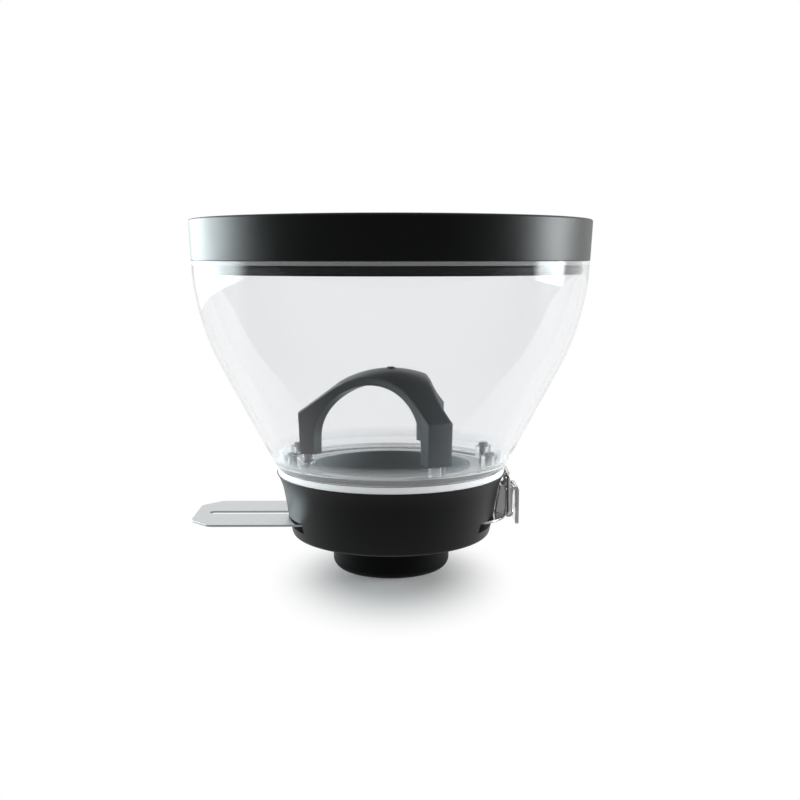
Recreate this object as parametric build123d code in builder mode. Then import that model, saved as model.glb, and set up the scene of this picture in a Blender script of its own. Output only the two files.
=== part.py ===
"""Clear bean hopper of a burr coffee grinder: bowl, lid, collar, slide gate and side latch.

Units are millimetres.  The origin is the centre of the outlet's bottom face, +Z points up the
hopper's axis, the slide gate pulls out towards -X and the toggle latch stands on the +X side.
"""

import os
from math import cos, radians, sin

from build123d import *

# ---------------------------------------------------------------- driving dimensions
# Lid
LID_TOP_R = 100.0
LID_RIM_R = 99.0
LID_TOP_Z = 176.8
LID_RIM_Z = 156.95
LID_WALL = 2.4
LID_EDGE_R = 1.2
LID_DISH_R = 91.0
LID_DISH_DEPTH = 1.4
SKIRT_R = 95.0
SKIRT_WALL = 2.4
SKIRT_Z = 150.8
SEAL_R = 95.7
SEAL_WIDTH = 1.5
SEAL_Z = 151.8
SEAL_H = 2.8
SEAL_LIP_R = 0.5

# Clear bowl
BOWL_TOP_Z = 156.9
BOWL_TOP_R = 98.8
BOWL_WALL = 2.8
RIM_BEAD_Z = 155.2
RIM_BEAD_R = 99.0
CONE_LOW = (59.2, 54.7)
CONE_HIGH = (85.0, 104.0)
BOWL_BASE_Z = 49.8
BOWL_BASE_R = 58.0
BASE_RING_H = 3.1
FLOOR_Z = 53.0
FLOOR_FILLET = 13.0
BOWL_THROAT_R = 41.2

# Finger guard
GUARD_APEX_Z = 102.7
GUARD_R = 47.7
GUARD_FOOT_R = 46.7
GUARD_FOOT_Z = 59.5
CROWN_ARC_R = 30.3
CROWN_ARC_DROP = 9.6
CROWN_DROP = 22.3
LEG_ANGLES = (60, 180, 300)
LEG_PITCH = 120
LEG_HALF_ANGLE = 7.8
SIDE_WAIST = 18.0
ARCH_HALF_WIDTH = 31.0
ARCH_SPRING_Z = 68.0
ARCH_RISE = 28.0
NUB_R = 2.0
NUB_H = 0.6
PILLAR_R = 4.25
GUARD_SCREW_PCR = 43.8
GUARD_HOLE_DEPTH = 8.0
GUARD_SCREW_REACH = 7.0

# Throat liner
THROAT_R = 39.5
LINER_LIP_Z = 53.0
LINER_WALL = 1.6
LINER_FLANGE_R = 48.5
LINER_FLANGE_T = 2.5
LINER_TUBE_Z = 41.0
LINER_EXIT_R = 26.5
LINER_EXIT_LAND = 2.4

# Collar
COLLAR_BOTTOM_Z = 17.5
COLLAR_FLOOR_Z = 20.5
COLLAR_CORNER_R = 2.5
COLLAR_BOTTOM_R = 50.7
COLLAR_HIP = (52.6, 26.0)
COLLAR_NECK = (55.0, 40.0)
COLLAR_RIM_R = 58.6
COLLAR_BORE_R = 48.6
COLLAR_STEP_Z = 33.0
COLLAR_UPPER_R = 51.3
COLLAR_LEDGE_Z = 46.0
COLLAR_RECESS_R = 54.8
SLOT_HALF_WIDTH = 29.5
SLOT_LOW_Z = 23.4
SLOT_HIGH_Z = 28.2
TONGUE_PLAY = 0.5
NOTCH_FLOOR_Z = 46.2
POCKET_ROOF = 1.2
POCKET_END_PLAY = 0.3
GUIDE_HOLE_DEPTH = 2.4

# Nozzle, gate guide and gate
NOZZLE_R = 30.0
NOZZLE_TIP_R = 27.2
NOZZLE_TIP_H = 4.5
NOZZLE_NECK_R = 31.0
NOZZLE_FLANGE_R = 33.0
OUTLET_R = 21.5
STACK_R = 48.4
NOZZLE_FLANGE_Z = 26.0
GUIDE_TOP_Z = 31.5
CHANNEL_HALF_WIDTH = 26.3
CHANNEL_TOP_Z = 27.5
MOUTH_LOW_Z = 27.8
GATE_LOW_Z = 26.2
GATE_T = 1.0
GATE_HALF_WIDTH = 26.0
GATE_OUTER_X = -101.0
GATE_INNER_X = -23.0
GATE_TRAVEL = 47.0
GATE_CORNER = 10.0
GATE_CORNER_R = 5.0
GATE_INNER_CORNER = 2.5
GATE_SLOT_W = 6.0
GATE_SLOT_OUTER_X = -94.4
STOP_PIN_R = 2.4
PIN_HOLE_DEPTH = 4.5
PIN_LOW_Z = 21.6
PIN_HIGH_Z = 31.3
PIN_CHAMFER = 0.3
STOP_PLAY = 0.4
STOP_PIN_X = GATE_SLOT_OUTER_X + GATE_TRAVEL + STOP_PLAY + STOP_PIN_R
GATE_SLOT_INNER_X = STOP_PIN_X + STOP_PIN_R + STOP_PLAY
SPRING_X = -36.0
SPRING_Y = 15.0
SPRING_LENGTH = 15.0
SPRING_WIDTH = 3.4
SPRING_T = 0.3
SPRING_GAP = 0.1
SPRING_END_PLAY = 0.5
SPRING_SIDE_PLAY = 0.3
POCKET_DEPTH = 1.5

# Toggle latch
FOOT_T = 1.2
FOOT_HALF_WIDTH = 21.0
FOOT_ARC_X = 35.5
FOOT_ARC_R = 24.0
FOOT_INNER_X = 31.0
LATCH_SHEET = 1.2
CHEEK_Y = 5.0
EAR_Y = 6.5
BAIL_Y = 9.0
WIRE_R = 0.9
PIVOT = (60.6, 41.4)
BAIL_PIVOT = (60.4, 28.6)
BAIL_TOP = (59.8, 49.4)
PIVOT_R = 1.25
RUNNING = 0.05
RIVET_HEAD_R = 2.05
RIVET_HEAD_H = 0.8
EYE_R = 2.3
LEVER_T = 1.8
LEVER_OUTER_X = 65.6
LEVER_LOW_Z = 22.8
LEVER_BEND_R = 1.4
LEVER_TIP_R = 0.7
LEVER_WEB_GAP = 0.4
EAR_INSET = 0.5
BAIL_END_R = 1.0
BAIL_CORNER_R = 2.2
BACK_LOW = (53.2, 26.0)
BACK_HIGH = (55.9, 42.4)

# Keeper and rear hook
PLATE_T = 1.3
PLATE_IN_R = 48.9
PLATE_OUT_R = 54.4
PLATE_ANGLE = 50
TONGUE_LOW_Z = 46.8
TONGUE_T = 1.3
TONGUE_HALF_WIDTH = 5.0
TONGUE_CORNER_R = 1.0
TONGUE_ROOT_X = 53.0
KEEPER_TIP_X = 60.8
HOOK_TIP_X = 56.0
PLATE_SCREW_PCR = 51.6
PLATE_SCREW_ANGLE = 16.5
PLATE_BOSS_R = 4.2
PLATE_BOSS_Z = 60.0

# Fasteners
SCREW_R = 1.45
SCREW_HOLE_R = 1.5
HEAD_R = 2.6
HEAD_H = 1.9
RECESS_R = 1.0
RECESS_DEPTH = 1.0
GUIDE_SCREW_XY = (18.0, 36.0)
GUIDE_SCREW_TIP_Z = 18.5
FOOT_SCREW_TIP_Z = 21.0
PLATE_SCREW_TIP_Z = 47.5
FOOT_SCREW_XY = (40.0, 14.0)

# Overlap that joins one solid to the next, and the reach of an edge search
JOIN = 1.0
NEAR = 0.01


def polar(radius, angle):
    """A plan position at a radius and an angle in degrees from +X."""
    return (radius * cos(radians(angle)), radius * sin(radians(angle)))


PLATE_SCREWS_RIGHT = [polar(PLATE_SCREW_PCR, a) for a in (-PLATE_SCREW_ANGLE, PLATE_SCREW_ANGLE)]
PLATE_SCREWS_LEFT = [(-x, y) for x, y in PLATE_SCREWS_RIGHT]
GUARD_SCREWS = [polar(GUARD_SCREW_PCR, a) for a in LEG_ANGLES]
GUIDE_SCREWS = [(sx * GUIDE_SCREW_XY[0], sy * GUIDE_SCREW_XY[1]) for sx in (-1, 1) for sy in (-1, 1)]
FOOT_SCREWS = [(FOOT_SCREW_XY[0], sy * FOOT_SCREW_XY[1]) for sy in (-1, 1)]


def pan_screws(places, seat_z, tip_z, head_up=True):
    """Pan-head screws with a driver recess, one at each plan position, as one group."""
    way = 1 if head_up else -1
    head = Plane.XY.offset(seat_z)
    with BuildPart() as group:
        with BuildSketch(Plane.XY.offset(min(seat_z, tip_z))):
            with Locations(*places):
                Circle(SCREW_R)
        extrude(amount=abs(seat_z - tip_z))
        with BuildSketch(head):
            with Locations(*places):
                Circle(HEAD_R)
        extrude(amount=way * HEAD_H)
        crown = group.edges().filter_by(GeomType.CIRCLE).group_by(Axis.Z)[-1 if head_up else 0]
        fillet(crown, HEAD_H / 3)
        with BuildSketch(Plane.XY.offset(seat_z + way * (HEAD_H - RECESS_DEPTH))):
            with Locations(*places):
                RegularPolygon(RECESS_R, 6)
        extrude(amount=way * 2 * RECESS_DEPTH, mode=Mode.SUBTRACT)
    return group


# ---------------------------------------------------------------- lid and seal
with BuildPart() as lid:
    # Cap: a drafted side wall under a shallow dished top, with the plug skirt inside it.
    with BuildSketch(Plane.XZ):
        with BuildLine():
            Polyline(
                (0, LID_TOP_Z - LID_DISH_DEPTH),
                (LID_DISH_R, LID_TOP_Z - LID_DISH_DEPTH),
                (LID_DISH_R + LID_DISH_DEPTH, LID_TOP_Z),
                (LID_TOP_R, LID_TOP_Z),
                (LID_RIM_R, LID_RIM_Z),
                (LID_RIM_R - LID_WALL, LID_RIM_Z),
                (LID_TOP_R - LID_WALL, LID_TOP_Z - LID_WALL - LID_DISH_DEPTH),
                (SKIRT_R, LID_TOP_Z - LID_WALL - LID_DISH_DEPTH),
                (SKIRT_R, SEAL_Z + SEAL_H),
                (SEAL_R - SEAL_WIDTH, SEAL_Z + SEAL_H),
                (SEAL_R - SEAL_WIDTH, SEAL_Z),
                (SKIRT_R, SEAL_Z),
                (SKIRT_R, SKIRT_Z),
                (SKIRT_R - SKIRT_WALL, SKIRT_Z),
                (SKIRT_R - SKIRT_WALL, LID_TOP_Z - LID_WALL - LID_DISH_DEPTH),
                (0, LID_TOP_Z - LID_WALL - LID_DISH_DEPTH),
                close=True,
            )
        make_face()
    revolve(axis=Axis.Z)
    top_edge = lid.edges().filter_by(GeomType.CIRCLE).group_by(Axis.Z)[-1].sort_by(SortBy.RADIUS)[-1]
    fillet(top_edge, LID_EDGE_R)

with BuildPart() as lid_seal:
    # Soft band in the skirt's groove, with a rounded lip that wipes the bowl's wall.
    with BuildSketch(Plane.XZ):
        with Locations((SEAL_R - SEAL_WIDTH / 2, SEAL_Z + SEAL_H / 2)):
            RectangleRounded(SEAL_WIDTH, SEAL_H, SEAL_LIP_R)
    revolve(axis=Axis.Z)

# ---------------------------------------------------------------- clear bowl
with BuildPart() as hopper_bowl:
    cone_slope = (CONE_HIGH[0] - CONE_LOW[0], CONE_HIGH[1] - CONE_LOW[1])
    cone_length = (cone_slope[0] ** 2 + cone_slope[1] ** 2) ** 0.5
    inward = (-cone_slope[1] / cone_length * BOWL_WALL, cone_slope[0] / cone_length * BOWL_WALL)
    inner_high = (CONE_HIGH[0] + inward[0], CONE_HIGH[1] + inward[1])
    floor_drop = (inner_high[1] - FLOOR_Z) / cone_slope[1]
    inner_low = (inner_high[0] - floor_drop * cone_slope[0], FLOOR_Z)
    # Outer skin: base ring, cone and the arc that brings it to the upright rim.
    with BuildSketch(Plane.XZ):
        with BuildLine():
            Line((BOWL_THROAT_R, BOWL_BASE_Z), (BOWL_BASE_R, BOWL_BASE_Z))
            Line((BOWL_BASE_R, BOWL_BASE_Z), (BOWL_BASE_R, BOWL_BASE_Z + BASE_RING_H))
            Line((BOWL_BASE_R, BOWL_BASE_Z + BASE_RING_H), CONE_LOW)
            Line(CONE_LOW, CONE_HIGH)
            TangentArc(CONE_HIGH, (BOWL_TOP_R, RIM_BEAD_Z), tangent=cone_slope)
            Line((BOWL_TOP_R, RIM_BEAD_Z), (RIM_BEAD_R, RIM_BEAD_Z))
            Line((RIM_BEAD_R, RIM_BEAD_Z), (RIM_BEAD_R, BOWL_TOP_Z))
            Line((RIM_BEAD_R, BOWL_TOP_Z), (BOWL_TOP_R - BOWL_WALL, BOWL_TOP_Z))
            Line((BOWL_TOP_R - BOWL_WALL, BOWL_TOP_Z), (BOWL_TOP_R - BOWL_WALL, RIM_BEAD_Z))
            TangentArc(inner_high, (BOWL_TOP_R - BOWL_WALL, RIM_BEAD_Z), tangent=cone_slope)
            Line(inner_high, inner_low)
            Line(inner_low, (BOWL_THROAT_R, FLOOR_Z))
            Line((BOWL_THROAT_R, FLOOR_Z), (BOWL_THROAT_R, BOWL_BASE_Z))
        make_face()
    revolve(axis=Axis.Z)
    floor_corner = (
        hopper_bowl.edges()
        .filter_by(GeomType.CIRCLE)
        .filter_by_position(Axis.Z, FLOOR_Z - NEAR, FLOOR_Z + NEAR)
        .sort_by(SortBy.RADIUS)[-1]
    )
    fillet(floor_corner, FLOOR_FILLET)
    # Pillars under the guard's legs, and bosses for the keeper and hook screws.
    with BuildSketch(Plane.XY.offset(FLOOR_Z - JOIN)):
        with Locations(*GUARD_SCREWS):
            Circle(PILLAR_R)
    extrude(amount=GUARD_FOOT_Z - FLOOR_Z + JOIN)
    with BuildSketch(Plane.XY.offset(FLOOR_Z - JOIN)):
        with Locations(*PLATE_SCREWS_RIGHT, *PLATE_SCREWS_LEFT):
            Circle(PLATE_BOSS_R)
    extrude(amount=PLATE_BOSS_Z - FLOOR_Z + JOIN)
    # Room for the liner's lip under the pillars, and the screw holes.
    with BuildSketch(Plane.XY.offset(BOWL_BASE_Z)):
        Circle(BOWL_THROAT_R)
    extrude(amount=LINER_LIP_Z + RUNNING - BOWL_BASE_Z, mode=Mode.SUBTRACT)
    with BuildSketch(Plane.XY.offset(BOWL_BASE_Z)):
        with Locations(*GUARD_SCREWS, *PLATE_SCREWS_RIGHT, *PLATE_SCREWS_LEFT):
            Circle(SCREW_HOLE_R)
    extrude(amount=PLATE_BOSS_Z - BOWL_BASE_Z, mode=Mode.SUBTRACT)

# ---------------------------------------------------------------- finger guard
with BuildPart() as finger_guard:
    # Domed canopy of revolution.
    with BuildSketch(Plane.XZ):
        with BuildLine():
            TangentArc(
                (0, GUARD_APEX_Z),
                (CROWN_ARC_R, GUARD_APEX_Z - CROWN_ARC_DROP),
                tangent=(1, 0),
            )
            Polyline(
                (CROWN_ARC_R, GUARD_APEX_Z - CROWN_ARC_DROP),
                (GUARD_R, GUARD_APEX_Z - CROWN_DROP),
                (GUARD_FOOT_R, GUARD_FOOT_Z),
                (0, GUARD_FOOT_Z),
                (0, GUARD_APEX_Z),
            )
        make_face()
    revolve(axis=Axis.Z)
    # Trimmed in plan to three legs with waisted sides between them.
    with BuildSketch(Plane.XY.offset(GUARD_FOOT_Z)):
        with BuildLine():
            reach = GUARD_R + JOIN
            for leg in LEG_ANGLES:
                Line(polar(reach, leg - LEG_HALF_ANGLE), polar(reach, leg + LEG_HALF_ANGLE))
                ThreePointArc(
                    polar(reach, leg + LEG_HALF_ANGLE),
                    polar(SIDE_WAIST, leg + LEG_PITCH / 2),
                    polar(reach, leg + LEG_PITCH - LEG_HALF_ANGLE),
                )
        make_face()
    extrude(amount=GUARD_APEX_Z - GUARD_FOOT_Z, mode=Mode.INTERSECT)
    # Arched openings between the legs: a half ellipse on upright jambs.
    for leg in LEG_ANGLES:
        across = polar(1, leg + LEG_PITCH / 2)
        gap_plane = Plane(
            origin=(0, 0, ARCH_SPRING_Z),
            x_dir=(-across[1], across[0], 0),
            z_dir=(across[0], across[1], 0),
        )
        with BuildSketch(gap_plane):
            Ellipse(ARCH_HALF_WIDTH, ARCH_RISE)
            with Locations((0, (GUARD_FOOT_Z - ARCH_SPRING_Z) / 2)):
                Rectangle(2 * ARCH_HALF_WIDTH, ARCH_SPRING_Z - GUARD_FOOT_Z)
        extrude(amount=2 * GUARD_R, mode=Mode.SUBTRACT)
    # Round nub on the crown, and the screw holes in the feet.
    with BuildSketch(Plane.XY.offset(GUARD_APEX_Z - JOIN)):
        Circle(NUB_R)
    extrude(amount=JOIN + NUB_H)
    with BuildSketch(Plane.XY.offset(GUARD_FOOT_Z)):
        with Locations(*GUARD_SCREWS):
            Circle(SCREW_HOLE_R)
    extrude(amount=GUARD_HOLE_DEPTH, mode=Mode.SUBTRACT)

# ---------------------------------------------------------------- throat liner
with BuildPart() as throat_liner:
    # Funnel that leads the beans to the outlet: a lip in the bowl's throat, and a flange under it.
    with BuildSketch(Plane.XZ):
        with BuildLine():
            Polyline(
                (THROAT_R, LINER_LIP_Z),
                (THROAT_R + LINER_WALL, LINER_LIP_Z),
                (THROAT_R + LINER_WALL, BOWL_BASE_Z),
                (LINER_FLANGE_R, BOWL_BASE_Z),
                (LINER_FLANGE_R, BOWL_BASE_Z - LINER_FLANGE_T),
                (THROAT_R + LINER_WALL, BOWL_BASE_Z - LINER_FLANGE_T),
                (THROAT_R + LINER_WALL, LINER_TUBE_Z - LINER_WALL / 2),
                (LINER_EXIT_R + LINER_EXIT_LAND, GUIDE_TOP_Z),
                (LINER_EXIT_R, GUIDE_TOP_Z),
                (THROAT_R, LINER_TUBE_Z),
                close=True,
            )
        make_face()
    revolve(axis=Axis.Z)
    with BuildSketch(Plane.XY.offset(BOWL_BASE_Z)):
        with Locations(*GUARD_SCREWS):
            Circle(SCREW_HOLE_R)
    extrude(amount=-LINER_FLANGE_T, mode=Mode.SUBTRACT)

guard_screws = pan_screws(
    GUARD_SCREWS,
    BOWL_BASE_Z - LINER_FLANGE_T,
    GUARD_FOOT_Z + GUARD_SCREW_REACH,
    head_up=False,
)

# ---------------------------------------------------------------- collar
with BuildPart() as collar:
    # Outer wall: drafted sides that flare to the bowl's base ring.
    neck_way = (COLLAR_NECK[0] - COLLAR_HIP[0], COLLAR_NECK[1] - COLLAR_HIP[1])
    with BuildSketch(Plane.XZ):
        with BuildLine():
            Polyline(
                (COLLAR_RIM_R, BOWL_BASE_Z),
                (COLLAR_RECESS_R, BOWL_BASE_Z),
                (COLLAR_RECESS_R, COLLAR_LEDGE_Z),
                (COLLAR_UPPER_R, COLLAR_LEDGE_Z),
                (COLLAR_UPPER_R, COLLAR_STEP_Z),
                (COLLAR_BORE_R, COLLAR_STEP_Z),
                (COLLAR_BORE_R, COLLAR_FLOOR_Z),
                (NOZZLE_NECK_R + RUNNING, COLLAR_FLOOR_Z),
                (NOZZLE_NECK_R + RUNNING, COLLAR_BOTTOM_Z),
                (COLLAR_BOTTOM_R, COLLAR_BOTTOM_Z),
                COLLAR_HIP,
                COLLAR_NECK,
            )
            TangentArc(COLLAR_NECK, (COLLAR_RIM_R, BOWL_BASE_Z), tangent=neck_way)
        make_face()
    revolve(axis=Axis.Z)
    bottom_edge = collar.edges().filter_by(GeomType.CIRCLE).group_by(Axis.Z)[0].sort_by(SortBy.RADIUS)[-1]
    fillet(bottom_edge, COLLAR_CORNER_R)
    # Gate slots through both sides.
    with BuildSketch(Plane.YZ.offset(-2 * COLLAR_RIM_R)):
        with Locations((0, (SLOT_LOW_Z + SLOT_HIGH_Z) / 2)):
            Rectangle(2 * SLOT_HALF_WIDTH, SLOT_HIGH_Z - SLOT_LOW_Z)
    extrude(amount=4 * COLLAR_RIM_R, mode=Mode.SUBTRACT)
    # Notch in the rim for the keeper's tongue, and the blind pocket for the rear hook.
    with BuildSketch(Plane.YZ.offset(COLLAR_UPPER_R)):
        with Locations((0, BOWL_BASE_Z)):
            Rectangle(2 * (TONGUE_HALF_WIDTH + TONGUE_PLAY), 2 * (BOWL_BASE_Z - NOTCH_FLOOR_Z))
    extrude(amount=COLLAR_RIM_R, mode=Mode.SUBTRACT)
    with BuildSketch(Plane.YZ.offset(-COLLAR_UPPER_R)):
        with Locations((0, (COLLAR_LEDGE_Z + BOWL_BASE_Z - POCKET_ROOF) / 2)):
            Rectangle(
                2 * (TONGUE_HALF_WIDTH + TONGUE_PLAY),
                BOWL_BASE_Z - POCKET_ROOF - COLLAR_LEDGE_Z,
            )
    extrude(amount=COLLAR_UPPER_R - HOOK_TIP_X - POCKET_END_PLAY, mode=Mode.SUBTRACT)
    # Blind holes for the guide's screws.
    with BuildSketch(Plane.XY.offset(COLLAR_FLOOR_Z)):
        with Locations(*GUIDE_SCREWS):
            Circle(SCREW_HOLE_R)
    extrude(amount=-GUIDE_HOLE_DEPTH, mode=Mode.SUBTRACT)

# ---------------------------------------------------------------- nozzle, gate bed and gate guide
with BuildPart() as nozzle:
    # Outlet spigot under a wider neck in the collar's bore, hung from a flange on the collar's floor.
    with BuildSketch(Plane.XZ):
        with BuildLine():
            Polyline(
                (NOZZLE_R, NOZZLE_TIP_H),
                (NOZZLE_R, COLLAR_BOTTOM_Z),
                (NOZZLE_NECK_R, COLLAR_BOTTOM_Z),
                (NOZZLE_NECK_R, COLLAR_FLOOR_Z),
                (NOZZLE_FLANGE_R, COLLAR_FLOOR_Z),
                (NOZZLE_FLANGE_R, NOZZLE_FLANGE_Z),
                (OUTLET_R, NOZZLE_FLANGE_Z),
                (OUTLET_R, 0),
                (NOZZLE_TIP_R, 0),
            )
            TangentArc((NOZZLE_R, NOZZLE_TIP_H), (NOZZLE_TIP_R, 0), tangent=(0, -1))
        make_face()
    revolve(axis=Axis.Z)

with BuildPart() as gate_bed:
    # Ring round the nozzle's flange, on which the gate slides.
    with BuildSketch(Plane.XY.offset(COLLAR_FLOOR_Z)):
        Circle(STACK_R)
        Circle(NOZZLE_FLANGE_R + RUNNING, mode=Mode.SUBTRACT)
    extrude(amount=NOZZLE_FLANGE_Z - COLLAR_FLOOR_Z)
    with BuildSketch(Plane.XY.offset(NOZZLE_FLANGE_Z)):
        with Locations(*GUIDE_SCREWS, *FOOT_SCREWS):
            Circle(SCREW_HOLE_R)
    extrude(amount=-(NOZZLE_FLANGE_Z - COLLAR_FLOOR_Z), mode=Mode.SUBTRACT)
    with BuildSketch(Plane.XY.offset(NOZZLE_FLANGE_Z)):
        with Locations((STOP_PIN_X, 0)):
            Circle(STOP_PIN_R)
    extrude(amount=-PIN_HOLE_DEPTH, mode=Mode.SUBTRACT)

with BuildPart() as gate_guide:
    # Cover plate over the gate, with a bevelled mouth and the gate's channel under it.
    with BuildSketch(Plane.XZ):
        with BuildLine():
            Polyline(
                (LINER_EXIT_R, GUIDE_TOP_Z),
                (STACK_R, GUIDE_TOP_Z),
                (STACK_R, NOZZLE_FLANGE_Z),
                (OUTLET_R, NOZZLE_FLANGE_Z),
                (OUTLET_R, MOUTH_LOW_Z),
                close=True,
            )
        make_face()
    revolve(axis=Axis.Z)
    with BuildSketch(Plane.YZ.offset(-STACK_R)):
        with Locations((0, NOZZLE_FLANGE_Z)):
            Rectangle(2 * CHANNEL_HALF_WIDTH, 2 * (CHANNEL_TOP_Z - NOZZLE_FLANGE_Z))
    extrude(amount=2 * STACK_R, mode=Mode.SUBTRACT)
    with BuildSketch(Plane.XY.offset(CHANNEL_TOP_Z)):
        with Locations((SPRING_X, -SPRING_Y), (SPRING_X, SPRING_Y)):
            Rectangle(SPRING_LENGTH + 2 * SPRING_END_PLAY, SPRING_WIDTH + 2 * SPRING_SIDE_PLAY)
    extrude(amount=POCKET_DEPTH, mode=Mode.SUBTRACT)
    with BuildSketch(Plane.XY.offset(NOZZLE_FLANGE_Z)):
        with Locations(*GUIDE_SCREWS, *FOOT_SCREWS):
            Circle(SCREW_HOLE_R)
    extrude(amount=GUIDE_TOP_Z - NOZZLE_FLANGE_Z, mode=Mode.SUBTRACT)
    with BuildSketch(Plane.XY.offset(NOZZLE_FLANGE_Z)):
        with Locations((STOP_PIN_X, 0)):
            Circle(STOP_PIN_R)
    extrude(amount=GUIDE_TOP_Z - NOZZLE_FLANGE_Z, mode=Mode.SUBTRACT)

guide_screws = pan_screws(GUIDE_SCREWS, GUIDE_TOP_Z, GUIDE_SCREW_TIP_Z)
latch_foot_screws = pan_screws(FOOT_SCREWS, GUIDE_TOP_Z, FOOT_SCREW_TIP_Z)

with BuildPart() as gate_stop_pin:
    # Dowel that stands in the gate's slot and limits its travel.
    with BuildSketch(Plane.XY.offset(PIN_LOW_Z)):
        with Locations((STOP_PIN_X, 0)):
            Circle(STOP_PIN_R - NEAR)
    extrude(amount=PIN_HIGH_Z - PIN_LOW_Z)
    chamfer(gate_stop_pin.edges().filter_by(GeomType.CIRCLE), PIN_CHAMFER)

with BuildPart() as gate_springs:
    # Two bowed leaf springs that press on the gate and hold it where it is put.
    spring_low = GATE_LOW_Z + GATE_T + SPRING_GAP
    spring_high = CHANNEL_TOP_Z + POCKET_DEPTH - SPRING_GAP
    for side in (-1, 1):
        with BuildSketch(Plane.XZ.offset(-side * SPRING_Y - SPRING_WIDTH / 2)):
            with BuildLine():
                ThreePointArc(
                    (SPRING_X - SPRING_LENGTH / 2, spring_high - SPRING_T),
                    (SPRING_X, spring_low),
                    (SPRING_X + SPRING_LENGTH / 2, spring_high - SPRING_T),
                )
                ThreePointArc(
                    (SPRING_X - SPRING_LENGTH / 2, spring_high),
                    (SPRING_X, spring_low + SPRING_T),
                    (SPRING_X + SPRING_LENGTH / 2, spring_high),
                )
                Line(
                    (SPRING_X - SPRING_LENGTH / 2, spring_high - SPRING_T),
                    (SPRING_X - SPRING_LENGTH / 2, spring_high),
                )
                Line(
                    (SPRING_X + SPRING_LENGTH / 2, spring_high - SPRING_T),
                    (SPRING_X + SPRING_LENGTH / 2, spring_high),
                )
            make_face()
        extrude(amount=SPRING_WIDTH)

with BuildPart() as slide_gate:
    # Flat plate with cropped corners and a long stop slot on its centre line.
    with BuildSketch(Plane.XY.offset(GATE_LOW_Z)) as gate_plan:
        with Locations(((GATE_OUTER_X + GATE_INNER_X) / 2, 0)):
            Rectangle(GATE_INNER_X - GATE_OUTER_X, 2 * GATE_HALF_WIDTH)
        chamfer(gate_plan.vertices().group_by(Axis.X)[0], GATE_CORNER)
        chamfer(gate_plan.vertices().group_by(Axis.X)[-1], GATE_INNER_CORNER)
        fillet(gate_plan.vertices().sort_by(Axis.X)[:4], GATE_CORNER_R)
    extrude(amount=GATE_T)
    with BuildSketch(Plane.XY.offset(GATE_LOW_Z)):
        with Locations(((GATE_SLOT_OUTER_X + GATE_SLOT_INNER_X) / 2, 0)):
            SlotOverall(GATE_SLOT_INNER_X - GATE_SLOT_OUTER_X, GATE_SLOT_W)
    extrude(amount=GATE_T, mode=Mode.SUBTRACT)

# ---------------------------------------------------------------- keeper and rear hook
def hook_plate(side, tip_x, places):
    """Screwed arc plate under the bowl's floor, with a lowered tongue that reaches tip_x."""
    plate_z = BOWL_BASE_Z - PLATE_T
    with BuildPart() as made:
        with BuildSketch(Plane.XY.offset(plate_z)):
            Circle(PLATE_OUT_R)
            Circle(PLATE_IN_R, mode=Mode.SUBTRACT)
            with BuildLine():
                far = 2 * PLATE_OUT_R
                Polyline(
                    (0, 0),
                    (side * far, -far * sin(radians(PLATE_ANGLE / 2))),
                    (side * far, far * sin(radians(PLATE_ANGLE / 2))),
                    close=True,
                )
            make_face(mode=Mode.INTERSECT)
        extrude(amount=PLATE_T)
        # The jog and the tongue.
        with BuildSketch(Plane.XZ.offset(-TONGUE_HALF_WIDTH)):
            with BuildLine():
                Polyline(
                    (side * TONGUE_ROOT_X, plate_z + PLATE_T),
                    (side * (TONGUE_ROOT_X - PLATE_T), plate_z + PLATE_T),
                    (side * (TONGUE_ROOT_X - PLATE_T), plate_z),
                    (side * (TONGUE_ROOT_X - TONGUE_T / 2), plate_z),
                    (side * (TONGUE_ROOT_X - TONGUE_T / 2), TONGUE_LOW_Z),
                    (side * tip_x, TONGUE_LOW_Z),
                    (side * tip_x, TONGUE_LOW_Z + TONGUE_T),
                    (side * (TONGUE_ROOT_X + TONGUE_T), TONGUE_LOW_Z + TONGUE_T),
                    (side * (TONGUE_ROOT_X + TONGUE_T), plate_z + PLATE_T),
                    close=True,
                )
            make_face()
        extrude(amount=2 * TONGUE_HALF_WIDTH)
        tips = made.edges().filter_by(Axis.Z).sort_by(Axis.X)
        fillet(tips[-2:] if side > 0 else tips[:2], TONGUE_CORNER_R)
        with BuildSketch(Plane.XY.offset(plate_z)):
            with Locations(*places):
                Circle(SCREW_HOLE_R)
        extrude(amount=PLATE_T, mode=Mode.SUBTRACT)
    return made


keeper_plate = hook_plate(1, KEEPER_TIP_X, PLATE_SCREWS_RIGHT)
rear_hook = hook_plate(-1, HOOK_TIP_X, PLATE_SCREWS_LEFT)
keeper_screws = pan_screws(PLATE_SCREWS_RIGHT, PLATE_BOSS_Z, PLATE_SCREW_TIP_Z)
rear_hook_screws = pan_screws(PLATE_SCREWS_LEFT, PLATE_BOSS_Z, PLATE_SCREW_TIP_Z)

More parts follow.
